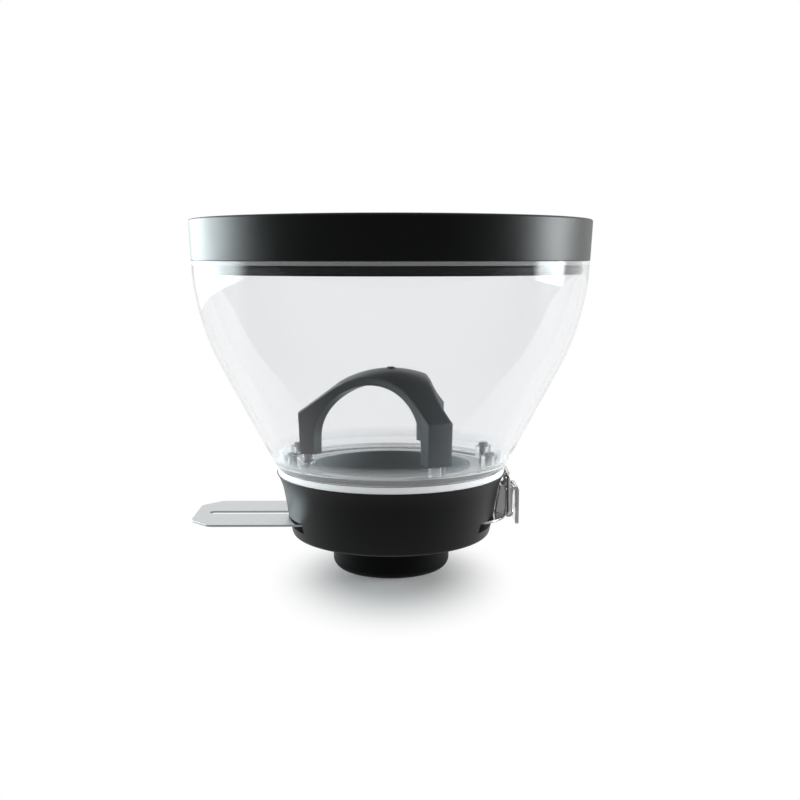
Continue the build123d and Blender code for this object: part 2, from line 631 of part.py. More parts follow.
# ---------------------------------------------------------------- toggle latch
with BuildPart() as latch_base:
    # Foot clamped in the end of the gate channel, with a rounded apron outside the collar.
    with BuildSketch(Plane.XY.offset(NOZZLE_FLANGE_Z)):
        with Locations((FOOT_ARC_X, 0)):
            Circle(FOOT_ARC_R)
        with Locations((FOOT_INNER_X + FOOT_ARC_R, 0)):
            Rectangle(2 * FOOT_ARC_R, 2 * FOOT_HALF_WIDTH, mode=Mode.INTERSECT)
    extrude(amount=FOOT_T)
    # Back plate along the collar, and the two cheeks that carry the lever's pivots.
    with BuildSketch(Plane.XZ.offset(-CHEEK_Y - LATCH_SHEET)):
        with BuildLine():
            Polyline(
                BACK_LOW,
                BACK_HIGH,
                (BACK_HIGH[0] + LATCH_SHEET, BACK_HIGH[1]),
                (BACK_LOW[0] + LATCH_SHEET, BACK_LOW[1]),
                close=True,
            )
        make_face()
    extrude(amount=2 * (CHEEK_Y + LATCH_SHEET))
    for cheek_face in (CHEEK_Y, -CHEEK_Y - LATCH_SHEET):
        with BuildSketch(Plane.XZ.offset(cheek_face)):
            with BuildLine():
                Polyline(
                    BACK_LOW,
                    BACK_HIGH,
                    (PIVOT[0] - EYE_R, PIVOT[1] + EYE_R / 2),
                    (PIVOT[0], PIVOT[1]),
                    (PIVOT[0] + EYE_R, PIVOT[1] - EYE_R / 2),
                    (BAIL_PIVOT[0] + EYE_R / 2, BAIL_PIVOT[1] + EYE_R),
                    (BAIL_PIVOT[0] - EYE_R, NOZZLE_FLANGE_Z),
                    close=True,
                )
            make_face()
            with Locations(PIVOT):
                Circle(EYE_R)
                Circle(PIVOT_R, mode=Mode.SUBTRACT)
        extrude(amount=LATCH_SHEET)
    with BuildSketch(Plane.XY.offset(NOZZLE_FLANGE_Z)):
        with Locations(*FOOT_SCREWS):
            Circle(SCREW_HOLE_R)
    extrude(amount=FOOT_T, mode=Mode.SUBTRACT)

with BuildPart() as latch_lever:
    # Handle strap: top web and the finger leg that hangs outside.
    web_top = PIVOT[1] + LEVER_T / 2
    web_start = PIVOT[0] + EYE_R + LEVER_WEB_GAP
    with BuildSketch(Plane.XZ.offset(-EAR_Y - LATCH_SHEET)):
        with BuildLine():
            Polyline(
                (web_start, web_top - LEVER_T),
                (web_start, web_top),
                (LEVER_OUTER_X, web_top),
                (LEVER_OUTER_X, LEVER_LOW_Z),
                (LEVER_OUTER_X - LEVER_T, LEVER_LOW_Z),
                (LEVER_OUTER_X - LEVER_T, web_top - LEVER_T),
                close=True,
            )
        make_face()
    extrude(amount=2 * (EAR_Y + LATCH_SHEET))
    bend = latch_lever.edges().filter_by(Axis.Y).filter_by_position(Axis.Z, web_top - NEAR, web_top + NEAR)
    fillet(bend.sort_by(Axis.X)[-1], LEVER_BEND_R)
    fingertip = latch_lever.edges().filter_by(Axis.Y).group_by(Axis.Z)[0]
    fillet(fingertip, LEVER_TIP_R)
    # Ears outside the cheeks, with the pivot hole above and the bail's hole below.
    for ear_face in (EAR_Y, -EAR_Y - LATCH_SHEET):
        with BuildSketch(Plane.XZ.offset(ear_face)):
            with Locations(PIVOT, BAIL_PIVOT):
                Circle(EYE_R)
            with BuildLine():
                Polyline(
                    (BAIL_PIVOT[0] - EYE_R + EAR_INSET, BAIL_PIVOT[1]),
                    (PIVOT[0] - EYE_R + EAR_INSET, PIVOT[1]),
                    (PIVOT[0] + EYE_R - EAR_INSET, PIVOT[1]),
                    (BAIL_PIVOT[0] + EYE_R - EAR_INSET, BAIL_PIVOT[1]),
                    close=True,
                )
            make_face()
            with Locations(((PIVOT[0] + LEVER_OUTER_X) / 2, PIVOT[1])):
                Rectangle(LEVER_OUTER_X - PIVOT[0] - LEVER_T, LEVER_T)
            with Locations(PIVOT):
                Circle(PIVOT_R + RUNNING, mode=Mode.SUBTRACT)
            with Locations(BAIL_PIVOT):
                Circle(WIRE_R + RUNNING, mode=Mode.SUBTRACT)
        extrude(amount=LATCH_SHEET)

with BuildPart() as latch_bail:
    # Round wire bent to a square loop, its ends turned in through the lever's ears.
    with BuildLine() as wire:
        FilletPolyline(
            (BAIL_PIVOT[0], -EAR_Y, BAIL_PIVOT[1]),
            (BAIL_PIVOT[0], -BAIL_Y, BAIL_PIVOT[1]),
            (BAIL_TOP[0], -BAIL_Y, BAIL_TOP[1]),
            (BAIL_TOP[0], BAIL_Y, BAIL_TOP[1]),
            (BAIL_PIVOT[0], BAIL_Y, BAIL_PIVOT[1]),
            (BAIL_PIVOT[0], EAR_Y, BAIL_PIVOT[1]),
            radius=[BAIL_END_R, BAIL_CORNER_R, BAIL_CORNER_R, BAIL_END_R],
        )
    with BuildSketch(Plane(origin=wire.line @ 0, z_dir=wire.line % 0)):
        Circle(WIRE_R)
    sweep(path=wire.line)

with BuildPart() as latch_pivot_rivets:
    # One rivet at each side, headed inside the cheek and flush outside the ear.
    for rivet_side in (-1, 1):
        head_face = Plane.XZ.offset(-rivet_side * (CHEEK_Y - RIVET_HEAD_H))
        with BuildSketch(head_face):
            with Locations(PIVOT):
                Circle(RIVET_HEAD_R)
        extrude(amount=-rivet_side * RIVET_HEAD_H)
        with BuildSketch(head_face):
            with Locations(PIVOT):
                Circle(PIVOT_R)
        extrude(amount=-rivet_side * (EAR_Y + LATCH_SHEET - CHEEK_Y + RIVET_HEAD_H))

# ---------------------------------------------------------------- export
NODES = {
    "lid": lid,
    "lid_seal": lid_seal,
    "hopper_bowl": hopper_bowl,
    "finger_guard": finger_guard,
    "guard_screws": guard_screws,
    "throat_liner": throat_liner,
    "collar": collar,
    "nozzle": nozzle,
    "gate_bed": gate_bed,
    "gate_guide": gate_guide,
    "guide_screws": guide_screws,
    "gate_stop_pin": gate_stop_pin,
    "gate_springs": gate_springs,
    "slide_gate": slide_gate,
    "keeper_plate": keeper_plate,
    "keeper_screws": keeper_screws,
    "rear_hook": rear_hook,
    "rear_hook_screws": rear_hook_screws,
    "latch_base": latch_base,
    "latch_foot_screws": latch_foot_screws,
    "latch_pivot_rivets": latch_pivot_rivets,
    "latch_lever": latch_lever,
    "latch_bail": latch_bail,
}

os.makedirs("parts", exist_ok=True)
for node, made in NODES.items():
    made.part.label = node
    export_step(made.part, f"parts/{node}.step")
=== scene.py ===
"""Looks of the clear bean hopper: finishes, smooth meshes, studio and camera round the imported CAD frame."""

import logging
import math
from dataclasses import dataclass
from enum import Enum

import bpy
import numpy as np
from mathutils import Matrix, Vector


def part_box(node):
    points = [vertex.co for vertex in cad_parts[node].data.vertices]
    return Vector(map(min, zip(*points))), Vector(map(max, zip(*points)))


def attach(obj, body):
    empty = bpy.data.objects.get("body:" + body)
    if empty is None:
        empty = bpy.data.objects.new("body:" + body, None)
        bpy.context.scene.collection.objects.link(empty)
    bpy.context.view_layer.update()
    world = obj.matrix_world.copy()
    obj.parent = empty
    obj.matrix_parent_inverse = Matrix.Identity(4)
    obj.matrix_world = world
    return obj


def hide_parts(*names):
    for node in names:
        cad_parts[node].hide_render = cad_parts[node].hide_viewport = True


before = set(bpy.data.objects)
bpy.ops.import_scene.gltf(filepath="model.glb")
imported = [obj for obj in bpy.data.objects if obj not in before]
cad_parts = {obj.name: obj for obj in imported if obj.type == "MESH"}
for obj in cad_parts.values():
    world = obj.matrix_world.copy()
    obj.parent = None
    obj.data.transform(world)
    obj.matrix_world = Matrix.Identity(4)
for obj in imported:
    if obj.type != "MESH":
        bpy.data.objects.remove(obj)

log = logging.getLogger("hopper")
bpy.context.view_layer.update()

# Vertices (n, 3) in metres and triangles (m, 3).
Skin = tuple[np.ndarray, np.ndarray]
WHITE = (1.0, 1.0, 1.0, 1.0)
# Rays that work out the rounding of an edge in the shading.
EDGE_RAYS = 4
# Nearly all of a noise pattern lies between these two values.
NOISE_LOW, NOISE_HIGH = 0.3, 0.7
# Below this, a whole number such as a ray's depth is 0.
BELOW_ONE = 0.5
# Corners within a ten-thousandth of a millimetre are one vertex.
WELD_STEPS_PER_METRE = 1e7
# A straight side next to a rounded corner gets one more point, this many setbacks from the corner.
SIDE_POINT = 1.5


# ---------------------------------------------------------------- colour and node helpers
def linear(hex_colour: str) -> tuple[float, float, float, float]:
    """Turns an sRGB hex colour into the linear colour that shader sockets take.

    A channel c becomes c / 12.92 up to 0.04045, and ((c + 0.055) / 1.055) ^ 2.4 above it.

    Args:
        hex_colour: Six hex digits, such as "1C1D1F".

    Returns:
        Linear red, green, blue and an alpha of 1.
    """
    srgb = np.array([int(hex_colour[i : i + 2], 16) for i in (0, 2, 4)]) / 255.0
    channel = np.where(srgb <= 0.04045, srgb / 12.92, ((srgb + 0.055) / 1.055) ** 2.4)
    return (*channel.tolist(), 1.0)


def add_node(
    tree: bpy.types.NodeTree,
    kind: str,
    settings: dict[str | int, object] | None = None,
    links: dict[str | int, bpy.types.NodeSocket | bpy.types.Node] | None = None,
) -> bpy.types.Node:
    """Adds one shader node with its settings and incoming links.

    Args:
        tree: The node tree that gets the node.
        kind: The node's type, such as "ShaderNodeTexNoise".
        settings: Values by name; a name or number that is an input socket sets its default value.
        links: What comes in, by the name or number of the input that takes it. A node stands for
            its first output.

    Returns:
        The new node.
    """
    node = tree.nodes.new(kind)
    for name, value in (settings or {}).items():
        if isinstance(name, str) and hasattr(node, name):
            setattr(node, name, value)
        else:
            node.inputs[name].default_value = value
    for name, source in (links or {}).items():
        socket = source.outputs[0] if isinstance(source, bpy.types.Node) else source
        tree.links.new(socket, node.inputs[name])
    return node


def new_tree(name: str) -> tuple[bpy.types.Material, bpy.types.NodeTree]:
    """Makes an empty node material.

    Args:
        name: The material's name.

    Returns:
        The material and its node tree.
    """
    material = bpy.data.materials.new(name)
    material.use_nodes = True
    material.node_tree.nodes.clear()
    return material, material.node_tree


def seen_rays(tree: bpy.types.NodeTree) -> bpy.types.Node:
    """Marks the rays that see the background in gloss or through clear plastic.

    Rays with a diffuse bounce light the object and aren't marked.

    Args:
        tree: The node tree that gets the nodes.

    Returns:
        A node whose value is 1 for those rays and 0 for all others.
    """
    path = add_node(tree, "ShaderNodeLightPath").outputs
    seen = add_node(
        tree,
        "ShaderNodeMath",
        {"operation": "MAXIMUM"},
        {0: path["Is Glossy Ray"], 1: path["Is Transmission Ray"]},
    )
    direct = add_node(
        tree, "ShaderNodeMath", {"operation": "LESS_THAN", 1: BELOW_ONE}, {0: path["Diffuse Depth"]}
    )
    return add_node(tree, "ShaderNodeMath", {"operation": "MULTIPLY"}, {0: seen, 1: direct})


def clear_rays(tree: bpy.types.NodeTree) -> bpy.types.Node:
    """Marks the rays that see the background straight or through clear plastic, with no reflection.

    Args:
        tree: The node tree that gets the nodes.

    Returns:
        A node whose value is 1 for those rays and 0 for all others.
    """
    path = add_node(tree, "ShaderNodeLightPath").outputs
    bounces = add_node(
        tree, "ShaderNodeMath", {"operation": "ADD"}, {0: path["Glossy Depth"], 1: path["Diffuse Depth"]}
    )
    straight = add_node(tree, "ShaderNodeMath", {"operation": "LESS_THAN", 1: BELOW_ONE}, {0: bounces})
    through = add_node(
        tree, "ShaderNodeMath", {"operation": "MULTIPLY"}, {0: path["Is Transmission Ray"], 1: straight}
    )
    return add_node(
        tree, "ShaderNodeMath", {"operation": "MAXIMUM"}, {0: path["Is Camera Ray"], 1: through}
    )


# ---------------------------------------------------------------- finishes
@dataclass(frozen=True)
class MouldedPlastic:
    """An opaque injection-moulded plastic with a fine even spark-eroded grain.

    Sizes are in metres. A real grain is about 0.1 mm across. It is drawn at 0.4 to 0.5 mm, because
    a finer one wouldn't show. The seal's coarse dimples are drawn at their own size. Patches of gloss
    about 29 mm across come from the flow in the tool and from handling, and the sheen's spread is
    how much the roughness varies between them. The edge is the radius of the rounding on edges.
    """

    name: str
    colour: str
    roughness: float
    ior: float
    specular: float
    grain_size: float
    grain_depth: float
    edge: float
    sheen_spread: float = 0.06
    patch_size: float = 0.02857

    def material(self) -> bpy.types.Material:
        """Builds the grained plastic.

        Returns:
            The material.
        """
        made, tree = new_tree(self.name)
        place = add_node(tree, "ShaderNodeTexCoord").outputs["Object"]
        rounding = add_node(tree, "ShaderNodeBevel", {"samples": EDGE_RAYS, "Radius": self.edge})
        grain = add_node(
            tree,
            "ShaderNodeTexNoise",
            {"Scale": 1.0 / self.grain_size, "Detail": 3.0, "Roughness": 0.6},
            {"Vector": place},
        )
        bump = add_node(
            tree,
            "ShaderNodeBump",
            {"Strength": 1.0, "Distance": self.grain_depth},
            {"Height": grain, "Normal": rounding},
        )
        patches = add_node(
            tree, "ShaderNodeTexNoise", {"Scale": 1.0 / self.patch_size, "Detail": 2.0}, {"Vector": place}
        )
        gloss = add_node(
            tree,
            "ShaderNodeMapRange",
            {
                "From Min": NOISE_LOW,
                "From Max": NOISE_HIGH,
                "To Min": self.roughness - self.sheen_spread / 2,
                "To Max": self.roughness + self.sheen_spread / 2,
            },
            {"Value": patches},
        )
        surface = add_node(
            tree,
            "ShaderNodeBsdfPrincipled",
            {"Base Color": linear(self.colour), "IOR": self.ior, "Specular IOR Level": self.specular},
            {"Roughness": gloss, "Normal": bump},
        )
        add_node(tree, "ShaderNodeOutputMaterial", None, {"Surface": surface})
        return made


@dataclass(frozen=True)
class ClearPlastic:
    """A polished clear moulding with a ground locating ring, whose shadow lets light through.

    Sizes are in metres. The ring lies below its top and outside its radius. The haze above it is a
    weak mix of the same ground skin, and so is the rim bead, above and outside its own two sizes.
    The ground skin also carries a faint painted glow, which stands in for light that the clear wall
    pipes down, so the ring, the haze and the bead glow though no lamp is there.
    The flow waves are the long shallow ripples of the tool's flow.
    """

    name: str
    colour: str
    shadow_colour: str
    ior: float
    ground_colour: str
    ground_clearness: float
    ground_roughness: float
    painted_glow: float
    ring_top: float
    ring_radius: float
    haze: float
    haze_height: float
    bead_low: float
    bead_radius: float
    bead_share: float
    flow_size: float
    flow_depth: float

    def ring_mask(self, tree: bpy.types.NodeTree, place: bpy.types.NodeSocket) -> bpy.types.Node:
        """Marks the ground ring, the haze above it and the faintly ground rim bead.

        The haze keeps its strength over the lower half of its height and fades out over the rest.

        Args:
            tree: The node tree that gets the nodes.
            place: Object coordinates.

        Returns:
            A node whose value is 1 on the ring, 0 on the polished skin and between them elsewhere.
        """
        height = add_node(tree, "ShaderNodeSeparateXYZ", None, {"Vector": place}).outputs["Z"]
        plan = add_node(tree, "ShaderNodeMapping", {"Scale": (1.0, 1.0, 0.0)}, {"Vector": place})
        radius = add_node(
            tree, "ShaderNodeVectorMath", {"operation": "LENGTH"}, {0: plan}
        ).outputs["Value"]
        haze = add_node(
            tree,
            "ShaderNodeMapRange",
            {
                "From Min": self.ring_top + self.haze_height / 2,
                "From Max": self.ring_top + self.haze_height,
                "To Min": self.haze,
                "To Max": 0.0,
            },
            {"Value": height},
        )
        ring = add_node(tree, "ShaderNodeMath", {"operation": "LESS_THAN", 1: self.ring_top}, {0: height})
        foot = add_node(tree, "ShaderNodeMath", {"operation": "MAXIMUM"}, {0: ring, 1: haze})
        outside = add_node(
            tree, "ShaderNodeMath", {"operation": "GREATER_THAN", 1: self.ring_radius}, {0: radius}
        )
        foot = add_node(tree, "ShaderNodeMath", {"operation": "MULTIPLY"}, {0: foot, 1: outside})
        high = add_node(
            tree, "ShaderNodeMath", {"operation": "GREATER_THAN", 1: self.bead_low}, {0: height}
        )
        rim = add_node(
            tree, "ShaderNodeMath", {"operation": "GREATER_THAN", 1: self.bead_radius}, {0: radius}
        )
        bead = add_node(tree, "ShaderNodeMath", {"operation": "MULTIPLY"}, {0: rim, 1: high})
        bead = add_node(tree, "ShaderNodeMath", {"operation": "MULTIPLY", 1: self.bead_share}, {0: bead})
        return add_node(tree, "ShaderNodeMath", {"operation": "MAXIMUM"}, {0: foot, 1: bead})

    def material(self) -> bpy.types.Material:
        """Builds the clear plastic.

        Returns:
            The material.
        """
        made, tree = new_tree(self.name)
        place = add_node(tree, "ShaderNodeTexCoord").outputs["Object"]
        flow = add_node(
            tree, "ShaderNodeTexNoise", {"Scale": 1.0 / self.flow_size, "Detail": 1.0}, {"Vector": place}
        )
        waviness = add_node(
            tree, "ShaderNodeBump", {"Strength": 1.0, "Distance": self.flow_depth}, {"Height": flow}
        )
        glass = add_node(
            tree,
            "ShaderNodeBsdfPrincipled",
            {
                "Base Color": linear(self.colour),
                "IOR": self.ior,
                "Transmission Weight": 1.0,
                "Roughness": 0.0,
            },
            {"Normal": waviness},
        )
        # The ground skin is frosted and also carries a painted glow, which stands in for light piped down the
        # clear wall.
        ground = add_node(
            tree,
            "ShaderNodeBsdfPrincipled",
            {
                "Base Color": linear(self.ground_colour),
                "IOR": self.ior,
                "Transmission Weight": self.ground_clearness,
                "Roughness": self.ground_roughness,
                "Emission Color": WHITE,
                "Emission Strength": self.painted_glow,
            },
        )
        skin = add_node(
            tree,
            "ShaderNodeMixShader",
            None,
            {"Fac": self.ring_mask(tree, place), 1: glass, 2: ground},
        )
        clear = add_node(tree, "ShaderNodeBsdfTransparent", {"Color": linear(self.shadow_colour)})
        path = add_node(tree, "ShaderNodeLightPath").outputs
        lighting = add_node(
            tree,
            "ShaderNodeMath",
            {"operation": "MAXIMUM"},
            {0: path["Is Shadow Ray"], 1: path["Is Diffuse Ray"]},
        )
        surface = add_node(tree, "ShaderNodeMixShader", None, {"Fac": lighting, 1: skin, 2: clear})
        add_node(tree, "ShaderNodeOutputMaterial", None, {"Surface": surface})
        return made


@dataclass(frozen=True)
class Metal:
    """A bare or plated metal with fine marks, which run along one axis where it is brushed.

    Sizes are in metres. Real marks are about 0.1 mm across. They are drawn 1.1 mm across, because
    finer ones wouldn't show. Pressed metal also has shallow waves 6 mm long, whose depth is 0 on the
    others. The edge is the radius of the rounding on edges.
    """

    name: str
    colour: str
    roughness: float
    edge: float
    mark_size: tuple[float, float, float] = (0.00111, 0.00111, 0.00111)
    mark_depth: float = 0.000004
    roughness_spread: float = 0.15
    wave_size: float = 0.006
    wave_depth: float = 0.0

    def material(self) -> bpy.types.Material:
        """Builds the metal.

        Returns:
            The material.
        """
        made, tree = new_tree(self.name)
        place = add_node(tree, "ShaderNodeTexCoord").outputs["Object"]
        rounding = add_node(tree, "ShaderNodeBevel", {"samples": EDGE_RAYS, "Radius": self.edge})
        scale = tuple(1.0 / size for size in self.mark_size)
        stretch = add_node(tree, "ShaderNodeMapping", {"Scale": scale}, {"Vector": place})
        marks = add_node(tree, "ShaderNodeTexNoise", {"Scale": 1.0, "Detail": 4.0}, {"Vector": stretch})
        waves = add_node(
            tree, "ShaderNodeTexNoise", {"Scale": 1.0 / self.wave_size, "Detail": 0.0}, {"Vector": place}
        )
        pressed = add_node(
            tree,
            "ShaderNodeBump",
            {"Strength": 1.0, "Distance": self.wave_depth},
            {"Height": waves, "Normal": rounding},
        )
        bump = add_node(
            tree,
            "ShaderNodeBump",
            {"Strength": 1.0, "Distance": self.mark_depth},
            {"Height": marks, "Normal": pressed},
        )
        dulling = add_node(
            tree,
            "ShaderNodeMapRange",
            {
                "From Min": NOISE_LOW,
                "From Max": NOISE_HIGH,
                "To Min": self.roughness * (1.0 - self.roughness_spread),
                "To Max": self.roughness * (1.0 + self.roughness_spread),
            },
            {"Value": marks},
        )
        surface = add_node(
            tree,
            "ShaderNodeBsdfPrincipled",
            {"Base Color": linear(self.colour), "Metallic": 1.0},
            {"Roughness": dulling, "Normal": bump},
        )
        add_node(tree, "ShaderNodeOutputMaterial", None, {"Surface": surface})
        return made


class Finish(Enum):
    """Every finish on the hopper, each named for its real material and process."""

    # Lid: black ABS with a fine even grain that spreads the light into a wide soft sheen.
    LID = MouldedPlastic(
        "lid_abs_fine_grain",
        "08090A",
        roughness=0.36,
        ior=1.5,
        specular=0.35,
        grain_size=0.00045,
        grain_depth=0.00005,
        edge=0.0004,
    )
    # Collar: the same black ABS from a smoother tool, so its highlights are soft and wide.
    BASE = MouldedPlastic(
        "base_abs_satin",
        "08090A",
        roughness=0.4,
        ior=1.5,
        specular=0.3,
        grain_size=0.0004,
        grain_depth=0.000025,
        edge=0.0004,
    )
    # Nozzle: the collar's black ABS drawn darker and with its highlights turned down, as painted shade for
    # the shadow at the hopper's foot.
    SPIGOT = MouldedPlastic(
        "nozzle_abs_painted_shade",
        "060708",
        roughness=0.5,
        ior=1.5,
        specular=0.1,
        grain_size=0.0004,
        grain_depth=0.000025,
        edge=0.0004,
    )
    # Finger guard: dark grey polyamide with a satin skin and softly rounded edges.
    GUARD = MouldedPlastic(
        "guard_polyamide_satin",
        "3F4649",
        roughness=0.34,
        ior=1.5,
        specular=0.5,
        grain_size=0.0005,
        grain_depth=0.00002,
        edge=0.0022,
    )
    # Throat liner: the guard's grey polyamide with the same skin, drawn paler as painted light, so that it
    # reads bright inside the dim throat.
    LINER = MouldedPlastic(
        "liner_polyamide_painted_light",
        "8E9699",
        roughness=0.45,
        ior=1.5,
        specular=0.5,
        grain_size=0.0005,
        grain_depth=0.00002,
        edge=0.0003,
    )
    # Gate bed and guide: black acetal with a smooth, slightly waxy skin, inside the collar.
    GUIDE = MouldedPlastic(
        "guide_acetal",
        "111213",
        roughness=0.35,
        ior=1.48,
        specular=0.4,
        grain_size=0.0005,
        grain_depth=0.00001,
        edge=0.0002,
    )
    # Lid seal: black silicone rubber, dimpled every 3 mm or so, with uneven patches of gloss that
    # break up what it reflects.
    SEAL = MouldedPlastic(
        "seal_silicone",
        "121314",
        roughness=0.4,
        ior=1.41,
        specular=0.5,
        grain_size=0.0028,
        grain_depth=0.00035,
        edge=0.0002,
        sheen_spread=0.3,
    )
    # Bowl: clear polycarbonate from a polished tool, sharp to look through. Its ripples, 45 mm long
    # and 0.01 mm high, bend reflections by a hair. Its ground locating ring looks white and carries a
    # faint painted glow, which stands in for light that the clear wall pipes down to it. A weak haze veils
    # the foot of the wall, and the rim bead is a little milky; both carry a little of the same painted glow.
    BOWL = ClearPlastic(
        "bowl_polycarbonate_polished",
        "FAFBFC",
        shadow_colour="F4F6F7",
        ior=1.5,
        ground_colour="E4E7E8",
        ground_clearness=0.1,
        ground_roughness=0.45,
        painted_glow=0.3,
        ring_top=0.0529,
        ring_radius=0.0575,
        haze=0.25,
        haze_height=0.0105,
        bead_low=0.1551,
        bead_radius=0.098,
        bead_share=0.25,
        flow_size=0.045,
        flow_depth=0.00001,
    )
    # Gate: stainless sheet, brushed along its length, so it mirrors the room in long soft streaks.
    # Real brush lines are under 0.1 mm apart. They are drawn 0.4 mm apart and about 17 mm long.
    SHEET = Metal(
        "gate_stainless_brushed",
        "CDD1D2",
        roughness=0.3,
        edge=0.0003,
        mark_size=(0.01667, 0.0004, 0.0004),
    )
    # Latch, hooks and rivets: bright nickel plate on pressed steel, whose faint waves and rolled
    # edges give clear but uneven reflections.
    PLATE = Metal("latch_nickel_plate", "D2D3D2", roughness=0.14, edge=0.0012, wave_depth=0.0002)
    # Screws and stop pin: turned stainless, a little darker than the plate, with soft reflections.
    SCREW = Metal("screw_stainless_turned", "A9ACAE", roughness=0.2, edge=0.0001)
    # Springs: tempered strip with a brownish heat tint and a dull shine.
    SPRING = Metal("spring_steel_tempered", "8E8B86", roughness=0.28, edge=0.00005)


# ---------------------------------------------------------------- meshes
def welded(corners: np.ndarray, triangles: np.ndarray) -> Skin:
    """Joins corners that share a place into one vertex.

    Corners that round to the same step of the welding grid become one vertex, and triangles that
    lose a corner by it are dropped.

    Args:
        corners: Corners (n, 3) in metres.
        triangles: Triangles (m, 3).

    Returns:
        Vertices and triangles of the joined skin.
    """
    steps = np.round(corners * WELD_STEPS_PER_METRE).astype(np.int64)
    _, first, merged = np.unique(steps, axis=0, return_index=True, return_inverse=True)
    index = merged.ravel()[triangles]
    whole = np.all(index != np.roll(index, -1, axis=1), axis=1)
    return corners[first], index[whole]


def cad_skin(node: str) -> Skin:
    """Copies a CAD node's loose triangles as one joined skin.

    Args:
        node: The CAD node's name.

    Returns:
        Vertices (n, 3) in metres and triangles (m, 3).
    """
    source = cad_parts[node].data
    corners = np.empty(len(source.vertices) * 3)
    source.vertices.foreach_get("co", corners)
    index = np.empty(len(source.loops), dtype=np.int32)
    source.loops.foreach_get("vertex_index", index)
    return welded(corners.reshape(-1, 3), index.reshape(-1, 3))


def rounded(corners: np.ndarray, setback: np.ndarray, steps: int = 6) -> np.ndarray:
    """Rounds the inner corners of an open outline.

    A corner's curve is the parabola (1-t)^2 A + 2t(1-t) C + t^2 B, where C is the corner and A and B
    lie on its two sides, the setback away from it. One more point on each side, a little further
    away, keeps the shading of the straight sides straight.

    Args:
        corners: Corners (n, 2) as radius and height, with both ends.
        setback: The setback of each of the n - 2 inner corners.
        steps: Points along one curve.

    Returns:
        The outline's points as radius and height.
    """
    ways = np.diff(corners, axis=0)
    ways /= np.linalg.norm(ways, axis=1, keepdims=True)
    corner = corners[1:-1, None]
    back = (ways[:-1] * setback[:, None])[:, None]
    ahead = (ways[1:] * setback[:, None])[:, None]
    t = np.linspace(0.0, 1.0, steps)[None, :, None]
    curve = (1 - t) ** 2 * (corner - back) + 2 * t * (1 - t) * corner + t**2 * (corner + ahead)
    bends = np.concatenate([corner - SIDE_POINT * back, curve, corner + SIDE_POINT * ahead], axis=1)
    return np.vstack([corners[:1], bends.reshape(-1, 2), corners[-1:]])


def lathe(outline: np.ndarray, segments: int = 256) -> Skin:
    """Turns an outline about the vertical axis.

    Point (i, j) is (r cos a, r sin a, z), with r and z from the outline's point i and a the angle
    of segment j. The outline runs clockwise seen with the radius to the right, so faces point out.

    Args:
        outline: Points (n, 2) as radius and height.
        segments: Segments in a full turn.

    Returns:
        Vertices (n, 3) in metres and triangles (m, 3), closed at the poles.
    """
    angle = np.linspace(0.0, 2.0 * math.pi, segments, endpoint=False)
    radius, height = outline[:, :1], outline[:, 1:]
    grid = np.stack(
        [radius * np.cos(angle), radius * np.sin(angle), height + np.zeros(segments)], axis=-1
    )
    index = np.arange(len(outline) * segments).reshape(len(outline), segments)
    ahead = np.roll(index, -1, axis=1)
    upper = np.stack([index[:-1], ahead[1:], ahead[:-1]], axis=-1)
    lower = np.stack([index[:-1], index[1:], ahead[1:]], axis=-1)
    return welded(grid.reshape(-1, 3), np.concatenate([upper, lower]).reshape(-1, 3))


def mesh_object(name: str, skin: Skin, crease: float) -> bpy.types.Object:
    """Makes a smooth-shaded object whose edges stay sharp above an angle.

    Args:
        name: The object's name.
        skin: Vertices (n, 3) in metres and triangles (m, 3).
        crease: Edges that turn by more than this many degrees stay sharp.

    Returns:
        The object, linked to the scene.
    """
    vertices, triangles = skin
    mesh = bpy.data.meshes.new(name)
    mesh.vertices.add(len(vertices))
    mesh.vertices.foreach_set("co", vertices.ravel())
    mesh.loops.add(triangles.size)
    mesh.loops.foreach_set("vertex_index", triangles.ravel().astype(np.int32))
    mesh.polygons.add(len(triangles))
    mesh.polygons.foreach_set("loop_start", np.arange(len(triangles), dtype=np.int32) * 3)
    mesh.update(calc_edges=True)
    mesh.validate()
    mesh.shade_smooth()
    mesh.set_sharp_from_angle(angle=math.radians(crease))
    made = bpy.data.objects.new(name, mesh)
    bpy.context.scene.collection.objects.link(made)
    return made


# ---------------------------------------------------------------- sub-assemblies
@dataclass
class SubAssembly:
    """A group of pieces on one body. Edges that turn by more than the crease stay sharp."""

    body: str
    crease: float = 24.0

    def dress(self, node: str, skin: Skin, finish: Finish, slot: str) -> None:
        """Makes a piece from a skin, gives it its finish and puts it on the body for a CAD node.

        Args:
            node: The CAD node that the piece stands for.
            skin: Vertices and triangles.
            finish: The piece's finish.
            slot: The record's material slot; not used.
        """
        piece = mesh_object(f"{node}_skin", skin, self.crease)
        coat = bpy.data.materials.get(finish.value.name) or finish.value.material()
        for mesh in (piece.data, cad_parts[node].data):
            mesh.materials.clear()
            mesh.materials.append(coat)
        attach(piece, self.body)
        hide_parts(node)
        log.info("%s on %s: %d triangles, %s", piece.name, self.body, len(skin[1]), coat.name)

    def dress_cad(self, nodes: dict[str, tuple[Finish, str]]) -> None:
        """Dresses joined copies of CAD nodes.

        Args:
            nodes: Finish and slot by node name.
        """
        for node, (finish, slot) in nodes.items():
            self.dress(node, cad_skin(node), finish, slot)


